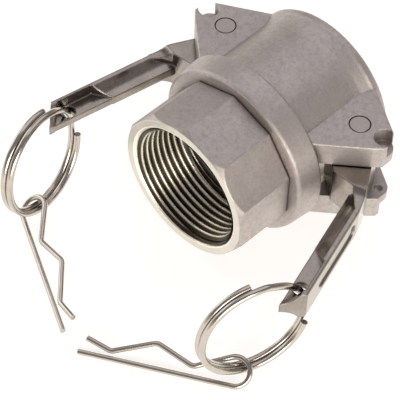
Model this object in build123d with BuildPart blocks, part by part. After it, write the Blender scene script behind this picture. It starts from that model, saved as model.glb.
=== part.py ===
from build123d import *
from math import acos, atan2, cos, hypot, radians, sin
import os

os.makedirs("parts", exist_ok=True)

# Cam and groove coupler, female, with an internal pipe thread at the back.
# Millimetres. The origin is the centre of the mouth, +Y leaves through the mouth,
# +X points to the right-hand lugs and +Z is along the pins, upwards as it lies.

# Driving dimensions: body
thread_major_radius = 20.955
bore_mouth_radius = 21.9
wrench_length = 21.3
wrench_corner_radius = 25.63
wrench_sides = 10
corner_chamfer_length = 1.9
thread_length = 20.5
passage_radius = 17.5
passage_cone_length = 2.0
passage_length = 2.0
collar_back_radius = 29.1
collar_front_radius = 29.78
collar_gap = 0.3
collar_length = 9.5
cup_back_radius = 25.75
cup_front_radius = 26.0
flare_length = 5.7
rim_radius = 27.55
rim_length = 3.4
socket_radius = 23.1
socket_depth = 32.5
socket_relief = 0.5
mouth_land_length = 6.0
seat_land_length = 3.0
gasket_inner_radius = 17.45
gasket_outer_radius = 24.6
gasket_thickness = 6.35

# Driving dimensions: lugs, pins and windows
slot_half_width = 7.65
lug_outer_z = 16.42
lug_reach = 40.8
lug_root = 20.0
lug_front_x = 24.2
lug_front_to_mouth = 2.7
lug_front_slope = 0.6
lug_step_to_mouth = 18.1
lug_waist_depth = 2.5
lug_waist_to_mouth = 20.7
lug_back_x = 23.8
lug_back_to_mouth = 33.0
lug_corner_radius = 3.8
pivot_x = 28.9
pivot_to_mouth = 16.2
pin_radius = 3.35
window_seat_wall = 1.6
clip_hole_to_edge = 2.9
clip_hole_to_mouth = 14.7
clip_hole_radius = 1.35
clip_pocket_radius = 3.5
clip_pocket_floor_z = 11.1

# Driving dimensions: arms
head_half_width = 7.2
lever_half_width = 5.35
lever_inner_u = 4.9
lever_outer_u = 11.6
lever_flange = 1.8
lever_rib_half = 1.6
tip_inner_v = -63.4
tip_outer_v = -58.4
web_half = 1.3
pocket_flange = 1.2
tip_wall = 1.5
ring_hole_u = 7.7
ring_hole_v = -54.6
ring_hole_radius = 2.4
left_rest_angle = 10.5
right_rest_angle = 17.1

# Driving dimensions: rings and clips
ring_wire_radius = 1.1
ring_coil_pitch = 2.3
clip_wire_radius = 0.9
clip_length = 48.0
clip_eye_radius = 4.5
clip_eye_centre = -0.7
clip_bends = ((12.3, 3.2), (24.4, 7.8), (37.9, 2.3))
clip_tail = (46.0, 4.7)
clip_bend_radius = 3.0

# Clearances
arm_pin_clearance = 0.06
passage_seat_gap = 0.15
gasket_side_gap = 0.2

# Where the loose pieces rest
left_ring_from_hole = (3.781, -15.328, -7.04)
left_ring_radius = 17.42
left_ring_turn = (11.1, 6.0)
left_ring_ends = (71, 352)
right_ring_from_hole = (-4.464, -14.838, -8.32)
right_ring_radius = 17.6
right_ring_turn = (-18.9, 3.0)
right_ring_ends = (93, 342)
left_clip_from_hole = (5.831, -25.578, -25.66)
left_clip_turn = (-27.2, 3.7, 36.2)
right_clip_from_hole = (-3.384, -24.848, -27.83)
right_clip_turn = (-150.0, -1.2, 38.0)

# Derived sizes
body_length = (
    thread_length
    + passage_cone_length
    + passage_length
    + passage_seat_gap
    + gasket_thickness
    + socket_depth
)
back = -body_length
pivot_y = -pivot_to_mouth
gasket_groove_radius = gasket_outer_radius + gasket_side_gap
socket_back = body_length - socket_depth
gasket_back = socket_back - gasket_thickness - passage_seat_gap
relief_radius = socket_radius + socket_relief
relief_back = socket_back + seat_land_length
collar_back = wrench_length + collar_gap
collar_front = collar_back + collar_length
rim_start = body_length - rim_length
flare_start = rim_start - flare_length
window_back = socket_back + window_seat_wall
window_front = body_length - mouth_land_length
clip_hole_x = lug_reach - clip_hole_to_edge
clip_hole_from_back = body_length - clip_hole_to_mouth
arm_hole_radius = pin_radius + arm_pin_clearance


def at(from_back):
    """Y of a place measured from the threaded end."""
    return back + from_back


def turned_profile(points):
    """Solid of revolution about Y from (radius, distance from the back) points."""
    with BuildPart() as turned:
        with BuildSketch(Plane.XY):
            with BuildLine():
                Polyline([(r, at(w)) for r, w in points], close=True)
            make_face()
        revolve(axis=Axis.Y)
    return turned.part


def lug_block():
    """One lug, on the +X and +Z side, with its rounded outer corner."""
    rise_to_root = lug_front_slope * (lug_front_x - lug_root)
    fall_to_reach = lug_front_slope * (lug_reach - lug_front_x)
    mouth_edge_start = (lug_root, rise_to_root - lug_front_to_mouth)
    mouth_edge_end = (lug_reach, -fall_to_reach - lug_front_to_mouth)
    with BuildPart() as block:
        with BuildSketch(Plane.XY.offset(slot_half_width)):
            with BuildLine():
                Polyline(
                    [
                        mouth_edge_start,
                        mouth_edge_end,
                        (lug_reach, -lug_step_to_mouth),
                        (lug_reach - lug_waist_depth, -lug_waist_to_mouth),
                        (lug_back_x, -lug_back_to_mouth),
                        (lug_root, -lug_back_to_mouth),
                    ],
                    close=True,
                )
            make_face()
        extrude(amount=lug_outer_z - slot_half_width)
        corner = block.edges().filter_by(Axis.Z).sort_by_distance(
            (mouth_edge_end[0], mouth_edge_end[1], 12)
        )[0]
        fillet(corner, lug_corner_radius)
        outer_rim = block.faces().sort_by(Axis.Z)[-1].edges()
        fillet(outer_rim, 0.5)
    return block.part


def arm_shape():
    """The right arm about its own pivot: u outwards, v to the mouth, lever along -v."""
    with BuildPart() as arm:
        # cam head: an eccentric round lobe inside, a slimmer round outside
        with BuildSketch(Plane.XY.offset(-head_half_width)):
            with BuildLine():
                Polyline(
                    [
                        (-3.2, 5.4),
                        (0.6, 5.4),
                        (6.9, -0.9),
                        (8.0, -7.0),
                        (9.7, -13.0),
                        (10.9, -18.0),
                        (11.45, -22.0),
                        (9.6, -22.0),
                        (6.2, -15.9),
                        (-2.0, -13.2),
                        (-8.4, -4.2),
                    ],
                    close=True,
                )
            make_face()
            with Locations((-3.2, -0.8)):
                Circle(6.2)
            with Locations((0.6, -0.9)):
                Circle(6.3)
        extrude(amount=2 * head_half_width)
        # the head narrows to the lever in a hollow sweep on both sides
        with BuildSketch(Plane.YZ.offset(-20)):
            with BuildLine():
                Line((8, head_half_width), (-15.4, head_half_width))
                ThreePointArc(
                    (-15.4, head_half_width),
                    (-17.4, 6.0),
                    (-20.6, lever_half_width),
                )
                Line((-20.6, lever_half_width), (-30, lever_half_width))
                Line((-30, lever_half_width), (-30, -lever_half_width))
                Line((-30, -lever_half_width), (-20.6, -lever_half_width))
                ThreePointArc(
                    (-20.6, -lever_half_width),
                    (-17.4, -6.0),
                    (-15.4, -head_half_width),
                )
                Line((-15.4, -head_half_width), (8, -head_half_width))
                Line((8, -head_half_width), (8, head_half_width))
            make_face()
        extrude(amount=40, mode=Mode.INTERSECT)
        # lever: a T with hollow flanks, from inside the head to past the tip
        with BuildSketch(Plane.XZ.offset(14.6)):
            with BuildLine():
                Polyline(
                    [
                        (lever_inner_u, lever_rib_half),
                        (lever_inner_u, -lever_rib_half),
                    ]
                )
                ThreePointArc(
                    (lever_inner_u, -lever_rib_half),
                    (7.7, -2.9),
                    (lever_outer_u - lever_flange, -lever_half_width),
                )
                Polyline(
                    [
                        (lever_outer_u - lever_flange, -lever_half_width),
                        (lever_outer_u - 0.5, -lever_half_width),
                        (lever_outer_u, -lever_half_width + 0.5),
                        (lever_outer_u, lever_half_width - 0.5),
                        (lever_outer_u - 0.5, lever_half_width),
                        (lever_outer_u - lever_flange, lever_half_width),
                    ]
                )
                ThreePointArc(
                    (lever_outer_u - lever_flange, lever_half_width),
                    (7.7, 2.9),
                    (lever_inner_u, lever_rib_half),
                )
            make_face()
        extrude(amount=52)
        # slanted shoulder where the outer face runs down to the head
        with BuildSketch(Plane.XY.offset(-10)):
            with BuildLine():
                Polyline(
                    [(8.0, -7.0), (9.7, -13.0), (10.9, -18.0), (11.6, -23.0), (16, -23), (16, -7)],
                    close=True,
                )
            make_face()
        extrude(amount=20, mode=Mode.SUBTRACT)
        # oblique tip
        with BuildSketch(Plane.XY.offset(-10)):
            with BuildLine():
                Polyline(
                    [
                        (lever_inner_u, tip_inner_v),
                        (lever_outer_u, tip_outer_v),
                        (lever_outer_u + 6, tip_outer_v),
                        (lever_outer_u + 6, -75),
                        (0, -75),
                        (0, tip_inner_v),
                    ],
                    close=True,
                )
            make_face()
        extrude(amount=20, mode=Mode.SUBTRACT)
        # side pockets down to the web that holds the ring, shut by the tip wall
        for side in (1, -1):
            with BuildSketch(Plane.XY.offset(side * web_half)):
                with BuildLine():
                    Polyline(
                        [
                            (0, -39.5),
                            (lever_inner_u, -39.5),
                            (lever_outer_u - pocket_flange, -44.5),
                            (lever_outer_u - pocket_flange, tip_outer_v + tip_wall),
                            (lever_inner_u, tip_inner_v + tip_wall + 0.4),
                            (0, tip_inner_v + tip_wall),
                        ],
                        close=True,
                    )
                make_face()
            extrude(amount=side * 8, mode=Mode.SUBTRACT)
        with Locations((ring_hole_u, ring_hole_v, 0)):
            Cylinder(ring_hole_radius, 20, mode=Mode.SUBTRACT)
        # shallow bare panel in the outer face
        with BuildSketch(Plane.YZ.offset(lever_outer_u + 1)):
            with Locations((-37.5, 0)):
                SlotOverall(25, 6.2)
        extrude(amount=-1.5, mode=Mode.SUBTRACT)
        # pivot hole
        Cylinder(arm_hole_radius, 30, mode=Mode.SUBTRACT)
    return arm.part


def ring_hole(side, angle, offset):
    """A place given by its offset from the ring hole of the resting arm on one side."""
    turn = radians(angle)
    reach = pivot_x + ring_hole_u * cos(turn) - ring_hole_v * sin(turn)
    hole_y = pivot_y + ring_hole_u * sin(turn) + ring_hole_v * cos(turn)
    return (side * reach + offset[0], hole_y + offset[1], offset[2])


def ring_shape(centre, radius, turn, ends):
    """Split ring: two coils side by side, one strand only where it passes the arm."""
    yaw, tilt = radians(turn[0]), radians(turn[1])
    normal = Vector(cos(yaw) * cos(tilt), sin(yaw) * cos(tilt), sin(tilt))
    across = Vector(-sin(yaw), cos(yaw), 0)
    upward = normal.cross(across)
    middle = Vector(*centre)
    half = ring_coil_pitch / 2

    def point(angle, offset):
        turn = radians(angle)
        return (
            middle
            + normal * offset
            + across * (radius * cos(turn))
            + upward * (radius * sin(turn))
        )

    def tangent(angle):
        turn = radians(angle)
        return across * (-sin(turn)) + upward * cos(turn)

    first, last = ends
    far = (first + last) / 2
    coil_a = Edge.make_three_point_arc(point(first, -half), point(far, -half), point(last, -half))
    coil_b = Edge.make_three_point_arc(point(first, half), point(far, half), point(last, half))
    gap = first + 360 - last
    crossing_points = []
    for step in range(0, 7):
        share = step / 6
        ease = share * share * (3 - 2 * share)
        crossing_points.append(point(last + gap * share, -half + ring_coil_pitch * ease))
    crossing = Edge.make_spline(
        crossing_points,
        tangents=[tangent(last), tangent(first)],
    )
    path = Wire([coil_a, crossing, coil_b])
    with BuildPart() as ring:
        start = Plane(origin=point(first, -half), z_dir=tangent(first))
        with BuildSketch(start):
            Circle(ring_wire_radius)
        sweep(path=path)
    return ring.part


def clip_shape():
    """Safety clip in its own plane: straight leg on +X, wavy leg beside it on +Y."""
    eye_middle = (clip_eye_centre, clip_eye_radius)
    # the wavy leg leaves the eye along the tangent to its first bend
    reach_x = clip_bends[0][0] - eye_middle[0]
    reach_y = clip_bends[0][1] - eye_middle[1]
    reach = hypot(reach_x, reach_y)
    exit_angle = atan2(reach_y, reach_x) + acos(clip_eye_radius / reach)
    half_angle = (exit_angle + radians(270)) / 2
    eye_exit = (
        eye_middle[0] + clip_eye_radius * cos(exit_angle),
        eye_middle[1] + clip_eye_radius * sin(exit_angle),
    )
    eye_half = (
        eye_middle[0] + clip_eye_radius * cos(half_angle),
        eye_middle[1] + clip_eye_radius * sin(half_angle),
    )
    with BuildPart() as clip:
        with BuildLine() as wire:
            leg = Line((clip_length, 0), (clip_eye_centre, 0))
            ThreePointArc(leg @ 1, eye_half, eye_exit)
            FilletPolyline(eye_exit, *clip_bends, clip_tail, radius=clip_bend_radius)
        with BuildSketch(Plane(origin=(clip_length, 0, 0), z_dir=(-1, 0, 0))):
            Circle(clip_wire_radius)
        sweep(path=wire.wires()[0])
    return clip.part


def clip_plane(start, turn, side):
    """Plane of a resting clip: x along the straight leg, y towards the wavy leg."""
    heading, pitch, roll = [radians(angle) for angle in turn]
    along = Vector(cos(heading) * cos(pitch), sin(heading) * cos(pitch), sin(pitch))
    level = Vector(-sin(heading), cos(heading), 0) * side
    upright = along.cross(level) * side
    towards_wave = level * cos(roll) + upright * sin(roll)
    return Plane(origin=start, x_dir=along, z_dir=along.cross(towards_wave))


# Body: wrench section, collar, cup with two windows, four lugs
with BuildPart() as body:
    with BuildSketch(Plane.XZ.offset(body_length)):
        RegularPolygon(wrench_corner_radius, wrench_sides, rotation=90 - 360 / wrench_sides)
    extrude(amount=-wrench_length)
    # the front corners of the wrench section are turned away
    add(
        turned_profile(
            [
                (0, 0),
                (wrench_corner_radius - 1.2, 0),
                (wrench_corner_radius + 0.02, corner_chamfer_length),
                (wrench_corner_radius + 2, corner_chamfer_length),
                (wrench_corner_radius + 2, wrench_length),
                (0, wrench_length),
            ]
        ),
        mode=Mode.INTERSECT,
    )
    # small relief groove behind the wrench section, then collar, cup, flare and rim
    add(
        turned_profile(
            [
                (0, wrench_length - 1),
                (wrench_corner_radius - 1.9, wrench_length - 1),
                (wrench_corner_radius - 1.9, collar_back),
                (collar_back_radius - 1.1, collar_back),
                (collar_back_radius - 0.3, collar_back + 0.35),
                (collar_back_radius, collar_back + 1.1),
                (collar_front_radius, collar_front - 0.9),
                (collar_front_radius - 0.5, collar_front - 0.2),
                (cup_back_radius + 0.9, collar_front + 0.35),
                (cup_back_radius + 0.2, collar_front + 0.8),
                (cup_back_radius, collar_front + 1.6),
                (cup_front_radius, flare_start),
                (cup_front_radius + 0.3, flare_start + 2.4),
                (rim_radius - 0.38, rim_start),
                (rim_radius, rim_start + 1.0),
                (rim_radius, body_length - 0.7),
                (rim_radius - 0.5, body_length),
                (0, body_length),
            ]
        )
    )
    # lugs, two on each side
    for side_x in (1, -1):
        for side_z in (1, -1):
            lug = lug_block()
            if side_x < 0:
                lug = lug.mirror(Plane.YZ)
            if side_z < 0:
                lug = lug.mirror(Plane.XY)
            add(lug)
    # bore: thread mouth, thread wall, passage, gasket groove and socket
    add(
        turned_profile(
            [
                (0, -1),
                (bore_mouth_radius + 1, -1),
                (bore_mouth_radius, 0),
                (thread_major_radius, 1.2),
                (thread_major_radius, thread_length),
                (passage_radius, thread_length + passage_cone_length),
                (passage_radius, gasket_back),
                (gasket_groove_radius, gasket_back),
                (gasket_groove_radius, socket_back),
                (socket_radius, socket_back),
                (socket_radius, relief_back),
                (relief_radius, relief_back + socket_relief),
                (relief_radius, window_front - socket_relief),
                (socket_radius, window_front),
                (socket_radius, body_length + 1),
                (0, body_length + 1),
            ]
        ),
        mode=Mode.SUBTRACT,
    )
    # windows for the cam heads
    for side_x in (1, -1):
        with Locations((side_x * 27, at((window_back + window_front) / 2), 0)):
            Box(18, window_front - window_back, 2 * slot_half_width, mode=Mode.SUBTRACT)
    # pin holes right through each pair of lugs, and the clip holes with their pockets
    for side_x in (1, -1):
        with Locations((side_x * pivot_x, pivot_y, 0)):
            Cylinder(pin_radius, 40, mode=Mode.SUBTRACT)
        with Locations((side_x * clip_hole_x, at(clip_hole_from_back), 0)):
            Cylinder(clip_hole_radius, 40, mode=Mode.SUBTRACT)
        for side_z in (1, -1):
            with Locations(
                (
                    side_x * clip_hole_x,
                    at(clip_hole_from_back),
                    side_z * (clip_pocket_floor_z + 5),
                )
            ):
                Cylinder(clip_pocket_radius, 10, mode=Mode.SUBTRACT)
body.part.label = "body"
export_step(body.part, "parts/body.step")

# Gasket: flat rubber seal with a softened inner and outer edge
with BuildPart() as gasket:
    seal = 0.6
    add(
        turned_profile(
            [
                (gasket_inner_radius, gasket_back + seal),
                (gasket_inner_radius + seal, gasket_back),
                (gasket_outer_radius, gasket_back),
                (gasket_outer_radius, gasket_back + gasket_thickness),
                (gasket_inner_radius + seal, gasket_back + gasket_thickness),
                (gasket_inner_radius, gasket_back + gasket_thickness - seal),
            ]
        )
    )
gasket.part.label = "gasket"
export_step(gasket.part, "parts/gasket.step")

# Pins: flush with the lug faces, slightly bevelled ends
with BuildPart() as left_pin:
    with Locations((-pivot_x, pivot_y, 0)):
        Cylinder(pin_radius, 2 * lug_outer_z)
    chamfer(left_pin.edges().filter_by(GeomType.CIRCLE), 0.3)
left_pin.part.label = "left_pin"
export_step(left_pin.part, "parts/left_pin.step")

with BuildPart() as right_pin:
    with Locations((pivot_x, pivot_y, 0)):
        Cylinder(pin_radius, 2 * lug_outer_z)
    chamfer(right_pin.edges().filter_by(GeomType.CIRCLE), 0.3)
right_pin.part.label = "right_pin"
export_step(right_pin.part, "parts/right_pin.step")

# Arms: cam head, T-section lever, web with the ring hole
with BuildPart() as left_arm:
    add(
        Location((-pivot_x, pivot_y, 0), (0, 0, -left_rest_angle))
        * arm_shape().mirror(Plane.YZ)
    )
left_arm.part.label = "left_arm"
export_step(left_arm.part, "parts/left_arm.step")

with BuildPart() as right_arm:
    add(Location((pivot_x, pivot_y, 0), (0, 0, right_rest_angle)) * arm_shape())
right_arm.part.label = "right_arm"
export_step(right_arm.part, "parts/right_arm.step")

# Rings
with BuildPart() as left_ring:
    left_centre = ring_hole(-1, left_rest_angle, left_ring_from_hole)
    add(ring_shape(left_centre, left_ring_radius, left_ring_turn, left_ring_ends))
left_ring.part.label = "left_ring"
export_step(left_ring.part, "parts/left_ring.step")

with BuildPart() as right_ring:
    right_centre = ring_hole(1, right_rest_angle, right_ring_from_hole)
    add(ring_shape(right_centre, right_ring_radius, right_ring_turn, right_ring_ends))
right_ring.part.label = "right_ring"
export_step(right_ring.part, "parts/right_ring.step")

# Safety clips
with BuildPart() as left_clip:
    left_start = ring_hole(-1, left_rest_angle, left_clip_from_hole)
    add(clip_plane(left_start, left_clip_turn, 1).location * clip_shape())
left_clip.part.label = "left_clip"
export_step(left_clip.part, "parts/left_clip.step")

with BuildPart() as right_clip:
    right_start = ring_hole(1, right_rest_angle, right_clip_from_hole)
    add(clip_plane(right_start, right_clip_turn, -1).location * clip_shape())
right_clip.part.label = "right_clip"
export_step(right_clip.part, "parts/right_clip.step")
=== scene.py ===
# %% [markdown]
# A cam and groove coupler is a short metal socket for a hose or a pipe. Two
# levers with cam-shaped heads pull a grooved adapter into it, and a split ring
# and a hairpin clip hang on each lever. Every solid shape comes packed from the
# CAD model, so this script only loads it, adds the screw thread inside the
# bore, gives each piece its finish, and sets up the light and the camera.

# %% Load the frame
import math
import bpy
from mathutils import Matrix, Vector


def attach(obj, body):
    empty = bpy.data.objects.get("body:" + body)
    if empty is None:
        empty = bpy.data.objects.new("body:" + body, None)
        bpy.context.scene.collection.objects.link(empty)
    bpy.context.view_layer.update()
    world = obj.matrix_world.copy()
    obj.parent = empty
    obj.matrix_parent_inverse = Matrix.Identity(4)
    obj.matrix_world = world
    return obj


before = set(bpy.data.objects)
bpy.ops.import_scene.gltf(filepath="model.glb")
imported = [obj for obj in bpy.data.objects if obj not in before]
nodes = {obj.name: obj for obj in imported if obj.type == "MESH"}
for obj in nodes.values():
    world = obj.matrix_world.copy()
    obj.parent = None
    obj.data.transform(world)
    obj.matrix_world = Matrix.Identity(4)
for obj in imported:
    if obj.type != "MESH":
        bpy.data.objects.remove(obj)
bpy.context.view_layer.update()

print("pieces:", ", ".join(sorted(nodes)))

# %% [markdown]
# Most of the work below is shader maths. Blender does it with nodes, and a long
# chain of nodes is hard to read, so a small class stands for one output socket.
# Adding or multiplying two of them makes the Math node that does it. A second
# class holds one material and makes every other kind of node.

# %% Value: a socket that takes part in sums
class Value:
    """One output socket of a material, used like a number."""

    def __init__(self, finish, socket):
        self.finish = finish
        self.socket = socket

    def maths(self, operation, first, second=0.0):
        return self.finish.node("ShaderNodeMath", {"operation": operation}, {0: first, 1: second})

    def __add__(self, other):
        return self.maths("ADD", self, other)

    __radd__ = __add__

    def __sub__(self, other):
        return self.maths("SUBTRACT", self, other)

    def __rsub__(self, other):
        return self.maths("SUBTRACT", other, self)

    def __mul__(self, other):
        return self.maths("MULTIPLY", self, other)

    __rmul__ = __mul__

    def __truediv__(self, other):
        return self.maths("DIVIDE", self, other)

    def __pow__(self, other):
        return self.maths("POWER", self, other)

    def __gt__(self, other):
        return self.maths("GREATER_THAN", self, other)

    def __lt__(self, other):
        return self.maths("LESS_THAN", self, other)

    def either(self, other):
        return self.maths("MAXIMUM", self, other)

    def absolute(self):
        return self.maths("ABSOLUTE", self)

    def sine(self):
        return self.maths("SINE", self)


print("sockets can be added, multiplied and compared")

# %% Finish: one material and the nodes in it
colour_a, colour_b, colour_out = 6, 7, 2  # the Mix node's sockets for colours


class Finish:
    """A material with one Principled shader, and one method for all other nodes."""

    def __init__(self, name):
        self.material = bpy.data.materials.new(name)
        self.material.use_nodes = True
        self.tree = self.material.node_tree
        self.shader = self.tree.nodes["Principled BSDF"]
        place = self.tree.nodes.new("ShaderNodeTexCoord")
        self.place = Value(self, place.outputs["Object"])

    def link(self, value, socket):
        """Feed a socket from another node, or set it to a plain number or colour."""
        if isinstance(value, Value):
            self.tree.links.new(value.socket, socket)
        else:
            socket.default_value = value

    def node(self, kind, settings=None, inputs=None, output=0):
        """Make a node from its options and inputs, and return one of its outputs."""
        new = self.tree.nodes.new(kind)
        for name, value in (settings or {}).items():
            setattr(new, name, value)
        for name, value in (inputs or {}).items():
            self.link(value, new.inputs[name])
        return Value(self, new.outputs[output])

    def set(self, **sockets):
        """Feed the shader: Base_Color=... goes to the socket Base Color."""
        for name, value in sockets.items():
            self.link(value, self.shader.inputs[name.replace("_", " ")])

    def axes(self):
        """The x, y and z of the point that is shaded, in metres."""
        split = self.tree.nodes.new("ShaderNodeSeparateXYZ")
        self.tree.links.new(self.place.socket, split.inputs[0])
        return [Value(self, output) for output in split.outputs]

    def noise(self, scale, detail=2.0, rough=0.5):
        """Soft spots of chance, from 0 to 1. A larger scale makes them smaller."""
        return self.node(
            "ShaderNodeTexNoise",
            inputs={"Vector": self.place, "Scale": scale, "Detail": detail, "Roughness": rough},
        )

    def ramp(self, value, start, end):
        """Grey from one (position, level) to another, flat before and after."""
        new = self.tree.nodes.new("ShaderNodeValToRGB")
        for element, (position, level) in zip(new.color_ramp.elements, (start, end)):
            element.position = position
            element.color = colour(level, level, level)
        self.link(value, new.inputs[0])
        return Value(self, new.outputs[0])

    def mix_colour(self, share, first, second):
        """The first colour where the share is 0, the second where it is 1."""
        new = self.tree.nodes.new("ShaderNodeMix")
        new.data_type = "RGBA"
        self.link(share, new.inputs["Factor"])
        self.link(first, new.inputs[colour_a])
        self.link(second, new.inputs[colour_b])
        return Value(self, new.outputs[colour_out])

    def bump(self, height, strength, distance, below=None):
        """A normal that tilts with the height, laid over another one if given."""
        inputs = {"Height": height, "Strength": strength, "Distance": distance}
        if below is not None:
            inputs["Normal"] = below
        return self.node("ShaderNodeBump", inputs=inputs)

    def soft_edges(self, radius):
        """A normal that rounds sharp edges a little, so that they catch the light."""
        return self.node("ShaderNodeBevel", {"samples": 6}, {"Radius": radius})

    def corners(self, reach):
        """1 deep in corners and grooves, where shade falls, and 0 on open faces: the mask for painted
        shade.
        """
        openness = self.node(
            "ShaderNodeAmbientOcclusion", {"samples": 8}, {"Distance": reach}, output=1
        )
        return self.ramp(openness, (0.30, 1.0), (0.80, 0.0))


def colour(red, green, blue):
    return (red, green, blue, 1.0)


def distance(across, along):
    """How far a point is from an axis, when it is this far off in two ways."""
    return (across * across + along * along) ** 0.5


def dress(material, *names):
    """Put a finish on CAD pieces. Their meshes stay as they are."""
    for name in names:
        piece = nodes[name]
        if not piece.material_slots:
            piece.data.materials.append(material)
        for slot in piece.material_slots:
            slot.material = material
    print(material.name, "on", ", ".join(names))


print("shader helpers ready")

# %% [markdown]
# The body is an investment casting in stainless steel, blasted with fine beads:
# a pale, matt grey with a grain like very fine sandpaper and soft cloudy
# patches. The bore and the ring around its mouth are turned on a lathe, so they
# are brighter and carry fine rings. Both finishes are on one mesh. The distance
# from the bore's axis tells them apart, which needs no painted mask.

# %% Where the machined faces are, in metres
pivot_x, pivot_y = 0.0289, -0.0162
pin_radius = 0.00335
cup_start_y = -0.0415
wrench_bore_limit = 0.0229
cup_bore_limit = 0.0253
end_face_y = -0.06342
passage_y = -0.0432
passage_limit = 0.0207
countersink_y = -0.0618
countersink_limit = 0.0221
bore_mark_rate = 21000.0  # radians per metre, which is a line every 0.3 mm
pin_mark_rate = 16000.0
seam_black = colour(0.04, 0.033, 0.03)
print("turned faces: within %.1f mm of the axis" % (cup_bore_limit * 1000.0))

# %% Cast steel for the body
def pin_seam(finish, x, y):
    """1 in a hair-thin ring round each pin, where grit fills the joint."""
    away = distance(x.absolute() - pivot_x, y - pivot_y)
    gap_in_mm = (away - pin_radius).absolute() * 1000.0
    return finish.ramp(gap_in_mm, (0.08, 1.0), (0.26, 0.0))


def turned_faces(y, radius):
    """1 on the faces that a lathe has cut, and 0 on those left as cast."""
    bore_limit = wrench_bore_limit + (cup_bore_limit - wrench_bore_limit) * (y > cup_start_y)
    return (radius < bore_limit).either(y < end_face_y)


def cast_steel():
    finish = Finish("cast steel")
    x, y, z = finish.axes()
    radius = distance(x, z)
    turned = turned_faces(y, radius)

    cloud = finish.ramp(finish.noise(140.0, 5.0, 0.65), (0.3, 0.0), (0.72, 1.0))
    stain = finish.ramp(finish.noise(620.0, 5.0, 0.65), (0.45, 0.0), (0.72, 1.0))
    speck = finish.ramp(finish.noise(1700.0, 3.0, 0.7), (0.48, 0.0), (0.7, 1.0))
    matt = finish.mix_colour(cloud, colour(0.425, 0.387, 0.38), colour(0.49, 0.45, 0.44))
    matt = finish.mix_colour(stain * 0.4, matt, colour(0.31, 0.276, 0.265))
    matt = finish.mix_colour(speck * 0.45, matt, colour(0.27, 0.24, 0.23))
    # Painted shade: the colour goes dark brown in corners and grooves, where shade falls.
    matt = finish.mix_colour(finish.corners(0.004) * 0.6, matt, colour(0.12, 0.10, 0.09))
    matt = finish.mix_colour(pin_seam(finish, x, y), matt, seam_black)

    passage = (y > passage_y) * (radius < passage_limit)
    countersink = (y < countersink_y) * (radius < countersink_limit)
    bright = finish.mix_colour(cloud, colour(0.52, 0.495, 0.45), colour(0.60, 0.57, 0.52))
    # Painted shade: the narrow passage behind the thread is painted dark, for the shade deep in the
    # bore.
    bright = finish.mix_colour(passage, bright, colour(0.15, 0.13, 0.115))
    # Painted highlight: the countersink at the mouth is painted much lighter than the other turned
    # faces, for the light it catches.
    bright = finish.mix_colour(countersink, bright, colour(0.82, 0.79, 0.72))

    grain = finish.noise(2600.0, 3.0, 0.6)
    pits = finish.noise(900.0, 3.0, 0.5)
    rings = (radius * bore_mark_rate).sine() * 0.5 + 0.5
    height = (grain * 0.6 + pits * 0.8) * (1.0 - turned) + rings * turned * 0.12
    blasted_roughness = 0.50 + 0.12 * stain
    turned_roughness = 0.28 + 0.14 * countersink
    finish.set(
        Base_Color=finish.mix_colour(turned, matt, bright),
        Metallic=1.0,
        Roughness=blasted_roughness * (1.0 - turned) + turned_roughness * turned,
        Normal=finish.bump(height, 0.6, 0.00009, finish.soft_edges(0.0006)),
    )
    return finish.material


dress(cast_steel(), "body")

# %% [markdown]
# The levers are cast too, but tumbled until they shine a little. They look
# darker than the body because their smoother skin mirrors the dark side of the
# room. The hollow flanks keep some of the casting's orange-peel skin.

# %% Tumbled steel for the levers
def tumbled_steel():
    finish = Finish("tumbled steel")
    cloud = finish.ramp(finish.noise(130.0, 4.0, 0.6), (0.3, 0.0), (0.7, 1.0))
    speck = finish.ramp(finish.noise(1100.0, 3.0, 0.6), (0.5, 0.0), (0.75, 1.0))
    peel = finish.noise(520.0, 2.0, 0.5)
    base = finish.mix_colour(cloud, colour(0.25, 0.225, 0.205), colour(0.35, 0.315, 0.29))
    # Painted shade: the colour goes nearly black in corners and grooves, where shade falls.
    base = finish.mix_colour(finish.corners(0.003) * 0.6, base, colour(0.08, 0.07, 0.06))
    finish.set(
        Base_Color=finish.mix_colour(speck * 0.4, base, colour(0.15, 0.13, 0.115)),
        Metallic=1.0,
        Roughness=0.15 + 0.09 * cloud,
        Normal=finish.bump(peel + speck * 0.2, 0.4, 0.00006, finish.soft_edges(0.0008)),
    )
    return finish.material


dress(tumbled_steel(), "left_arm", "right_arm")

# %% [markdown]
# Each pin is a cut length of bar, pressed through the lugs and dressed flush.
# Its end shows faint rings around its own middle, so each pin has a material of
# its own that knows where that middle is.

# %% Bar steel for the pins
def bar_steel(middle_x):
    finish = Finish("bar steel")
    x, y, z = finish.axes()
    rings = (distance(x - middle_x, y - pivot_y) * pin_mark_rate).sine()
    cloud = finish.noise(700.0, 4.0, 0.65)
    steel = finish.mix_colour(cloud, colour(0.32, 0.29, 0.28), colour(0.49, 0.45, 0.435))
    finish.set(
        Base_Color=finish.mix_colour(pin_seam(finish, x, y), steel, seam_black),
        Metallic=1.0,
        Roughness=0.42 + 0.12 * cloud,
        Normal=finish.bump(rings * 0.3 + cloud, 0.3, 0.00003),
    )
    return finish.material


dress(bar_steel(-pivot_x), "left_pin")
dress(bar_steel(pivot_x), "right_pin")

# %% [markdown]
# Rings and clips are drawn wire. Drawing leaves fine scratches, and the bright
# skin mirrors the room in long streaks of light and dark.

# %% Drawn wire for rings and clips
def drawn_wire():
    finish = Finish("drawn wire")
    cloud = finish.noise(260.0, 3.0, 0.6)
    scratch = finish.noise(2200.0, 2.0, 0.5)
    finish.set(
        Base_Color=finish.mix_colour(cloud, colour(0.38, 0.35, 0.32), colour(0.52, 0.48, 0.445)),
        Metallic=1.0,
        Roughness=0.12 + 0.08 * scratch,
        Normal=finish.bump(scratch, 0.15, 0.00003),
    )
    return finish.material


dress(drawn_wire(), "left_ring", "right_ring", "left_clip", "right_clip")

# %% [markdown]
# The gasket is moulded rubber: nearly black, matt, with a faint bloom.

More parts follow.
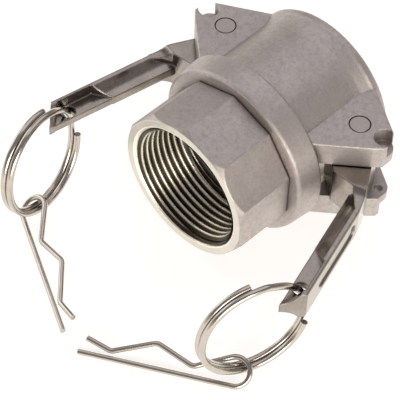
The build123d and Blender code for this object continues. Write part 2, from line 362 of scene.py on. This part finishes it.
# %% Seal rubber
def seal_rubber():
    finish = Finish("seal rubber")
    bloom = finish.ramp(finish.noise(300.0, 4.0, 0.6), (0.4, 0.0), (0.8, 1.0))
    skin = finish.noise(1500.0, 2.0, 0.5)
    finish.set(
        Base_Color=finish.mix_colour(bloom, colour(0.018, 0.018, 0.019), colour(0.035, 0.034, 0.034)),
        Roughness=0.55 + 0.15 * bloom,
        Normal=finish.bump(skin, 0.3, 0.00005),
    )
    return finish.material


dress(seal_rubber(), "gasket")

# %% [markdown]
# The pipe thread is parallel, eleven turns to the inch, with flanks 55 degrees
# apart and rounded crests and roots. A screw modifier could sweep the profile,
# but a mesh built turn by turn lets the ridge fade in at the open end and run
# out at the back, as a real cutter leaves it.

# %% Thread sizes, in metres
thread_pitch = 0.0254 / 11
thread_root_radius = 0.02090
thread_crest_radius = 0.01950
thread_wall_radius = 0.02102
thread_start_y = -0.0634
thread_end_y = -0.0434
thread_overrun = 0.0006
steps_per_turn = 120
fade_in_start, fade_in_turns, run_out_turns = 0.25, 0.35, 0.7
turns = (thread_end_y - thread_start_y) / thread_pitch

# Each point of the profile is a share of the pitch and a share of the height.
profile = [
    (-0.50, 0.00),
    (-0.44, 0.06),
    (-0.13, 0.90),
    (-0.06, 1.00),
    (0.06, 1.00),
    (0.13, 0.90),
    (0.44, 0.06),
    (0.50, 0.00),
]
print("thread turns: %.1f" % turns)

# %% Build the thread's mesh
def thread_height(turn):
    """How much of its full height the ridge has, from 0 to 1."""
    fade_in = min(1.0, max(0.0, turn - fade_in_start) / fade_in_turns)
    run_out = min(1.0, max(0.0, turns - turn) / run_out_turns)
    return min(fade_in, run_out)


def thread_mesh():
    points = []
    faces = []
    count = int(turns * steps_per_turn) + 1
    width = len(profile)
    for step in range(count):
        turn = step / steps_per_turn
        angle = 2.0 * math.pi * turn
        share = thread_height(turn)
        base = thread_root_radius + (thread_wall_radius - thread_root_radius) * (1.0 - share)
        for offset, height in profile:
            radius = base - (base - thread_crest_radius) * height * share
            y = thread_start_y + thread_pitch * (turn + offset)
            y = min(max(y, thread_start_y), thread_end_y + thread_overrun)
            points.append((radius * math.sin(angle), y, radius * math.cos(angle)))
    for step in range(count - 1):
        for column in range(width - 1):
            corner = step * width + column
            faces.append((corner, corner + width, corner + width + 1, corner + 1))
    mesh = bpy.data.meshes.new("thread")
    mesh.from_pydata(points, [], faces)
    mesh.validate()
    for polygon in mesh.polygons:
        polygon.use_smooth = True
    return mesh


def place_piece(name, mesh):
    piece = bpy.data.objects.new(name, mesh)
    bpy.context.collection.objects.link(piece)
    return piece


thread = place_piece("thread", thread_mesh())
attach(thread, "coupler")
print("thread faces:", len(thread.data.polygons))

# %% [markdown]
# The thread is cut, so its flanks are bright. The crests carry a painted
# highlight, and the roots a near-black painted shade. The radius again gives the
# height on the thread, so the shade follows the roots without any texture image.

# %% Cut steel for the thread
def cut_steel():
    finish = Finish("cut steel")
    x, y, z = finish.axes()
    depth = (distance(x, z) - thread_crest_radius) / (thread_root_radius - thread_crest_radius)
    depth = finish.ramp(depth, (0.04, 0.0), (0.38, 1.0))
    chatter = finish.noise(700.0, 3.0, 0.6)
    finish.set(
        # Painted highlight on the crests, and painted shade, near black, in the roots.
        Base_Color=finish.mix_colour(depth, colour(0.82, 0.79, 0.70), colour(0.055, 0.045, 0.03)),
        Metallic=1.0,
        Roughness=0.22 + 0.12 * chatter,
        Normal=finish.bump(chatter, 0.25, 0.00005),
    )
    return finish.material


thread.data.materials.append(cut_steel())
print("thread finish:", thread.data.materials[0].name)

# %% [markdown]
# The photograph was taken in a light tent: a white table that the lower faces
# mirror, pale walls near the table, and darker cloth above them that the steel
# shows as soft dark bands. The floor is plain white. A little light of its own,
# for the camera and in reflections, lifts it to the paper white of the
# photograph, and the coupler's shadow still falls on it.

# %% Floor
floor_z = -0.0299
floor_reach = 3.0
floor_glow = 0.62


def table_glow(finish):
    """How strongly the table glows: a little for the camera, more in reflections."""
    path = finish.tree.nodes.new("ShaderNodeLightPath")
    seen = Value(finish, path.outputs["Is Camera Ray"])
    mirrored = Value(finish, path.outputs["Is Glossy Ray"])
    through = Value(finish, path.outputs["Is Transmission Ray"])
    return floor_glow * (seen + through) + mirrored, mirrored


def white_table():
    finish = Finish("white table")
    glow, mirrored = table_glow(finish)
    finish.set(
        Base_Color=colour(0.62, 0.62, 0.62),
        Roughness=0.9,
        Specular_IOR_Level=0.0,
        Emission_Color=finish.mix_colour(mirrored, colour(1.0, 0.99, 0.98), colour(1.0, 0.96, 0.87)),
        Emission_Strength=glow,
    )
    return finish.material


floor_mesh = bpy.data.meshes.new("floor")
ends = (-floor_reach, floor_reach)
floor_points = [(x, y, floor_z) for y in ends for x in ends]
floor_mesh.from_pydata(floor_points, [], [(0, 1, 3, 2)])
floor_mesh.materials.append(white_table())
place_piece("floor", floor_mesh)
print("floor at z = %.4f m" % floor_z)

# %% [markdown]
# The light of the room is a ramp by height. It is bright and warm at the level
# of the table, falls off to dark cloth twenty degrees up, and stays low
# overhead. The camera itself sees plain white behind the table.

# %% World light
horizon_light = colour(1.05, 0.98, 0.84)
cloth_light = colour(0.32, 0.295, 0.29)
cloth_height = 0.35
zenith_light = colour(0.37, 0.345, 0.355)
backdrop = colour(1.0, 1.0, 1.0)


def make_world():
    world = bpy.data.worlds.new("light tent")
    bpy.context.scene.world = world
    world.use_nodes = True
    tree = world.node_tree
    background = tree.nodes["Background"]
    place = tree.nodes.new("ShaderNodeTexCoord")
    split = tree.nodes.new("ShaderNodeSeparateXYZ")
    tree.links.new(place.outputs["Generated"], split.inputs[0])
    room = tree.nodes.new("ShaderNodeValToRGB")
    stops = room.color_ramp.elements
    stops[0].position = 0.0
    stops[0].color = horizon_light
    stops[1].position = 1.0
    stops[1].color = zenith_light
    stops.new(cloth_height).color = cloth_light
    tree.links.new(split.outputs[2], room.inputs[0])
    path = tree.nodes.new("ShaderNodeLightPath")
    seen = tree.nodes.new("ShaderNodeMix")
    seen.data_type = "RGBA"
    tree.links.new(path.outputs["Is Camera Ray"], seen.inputs["Factor"])
    tree.links.new(room.outputs[0], seen.inputs[colour_a])
    seen.inputs[colour_b].default_value = backdrop
    tree.links.new(seen.outputs[colour_out], background.inputs["Color"])
    background.inputs["Strength"].default_value = 1.0
    return world


print("world:", make_world().name)

# %% [markdown]
# Three large lamps shape the steel. The ceiling gives the even light on the upper
# faces, the left wall lifts the shadows, and the right wall is strong and warm,
# so the cut face round the thread shines. The countersink at the mouth also
# carries a painted highlight.

# %% Lamps
lamp_aim = Vector((0.0, -0.05, 0.0))


def make_lamp(name, place, size, watts, tint):
    light = bpy.data.lights.new(name, "AREA")
    light.shape = "RECTANGLE"
    light.size, light.size_y = size
    light.energy = watts
    light.color = tint
    lamp = place_piece(name, light)
    lamp.location = place
    lamp.rotation_euler = (lamp_aim - Vector(place)).to_track_quat("-Z", "Y").to_euler()
    print("%s: %.1f W" % (name, watts))


make_lamp("ceiling", (-0.15, 0.25, 0.75), size=(1.1, 0.9), watts=2.3, tint=(1.0, 0.98, 0.99))
make_lamp("left wall", (-0.75, -0.25, 0.35), size=(0.6, 0.5), watts=1.6, tint=(1.0, 0.98, 0.96))
make_lamp("right wall", (0.65, -0.45, 0.25), size=(0.7, 0.4), watts=5.0, tint=(1.0, 0.95, 0.86))

# %% [markdown]
# The camera stands where the photographer's did, found by matching the bore,
# the pins, the lugs and the levers of the CAD model with the photograph. The
# lens is long, so the shape hardly narrows with distance.

# %% Camera
camera_place = Vector((0.27598, -0.34789, 0.47977))
camera_right = Vector((0.70576, 0.70802, 0.02486))
camera_up = Vector((-0.55984, 0.53586, 0.63200))
camera_forward = Vector((-0.43415, 0.45996, -0.77457))
camera_data = bpy.data.cameras.new("camera")
camera_data.lens = 182.05
camera_data.sensor_width = 36.0
camera_data.clip_start = 0.01
camera = place_piece("camera", camera_data)
camera_turn = Matrix((camera_right, camera_up, -camera_forward)).transposed()
camera.matrix_world = Matrix.Translation(camera_place) @ camera_turn.to_4x4()
bpy.context.scene.camera = camera
bpy.context.scene.view_settings.view_transform = "Standard"
print("camera %.3f m from the origin" % camera_place.length)

# %% The end
print("scene set up")
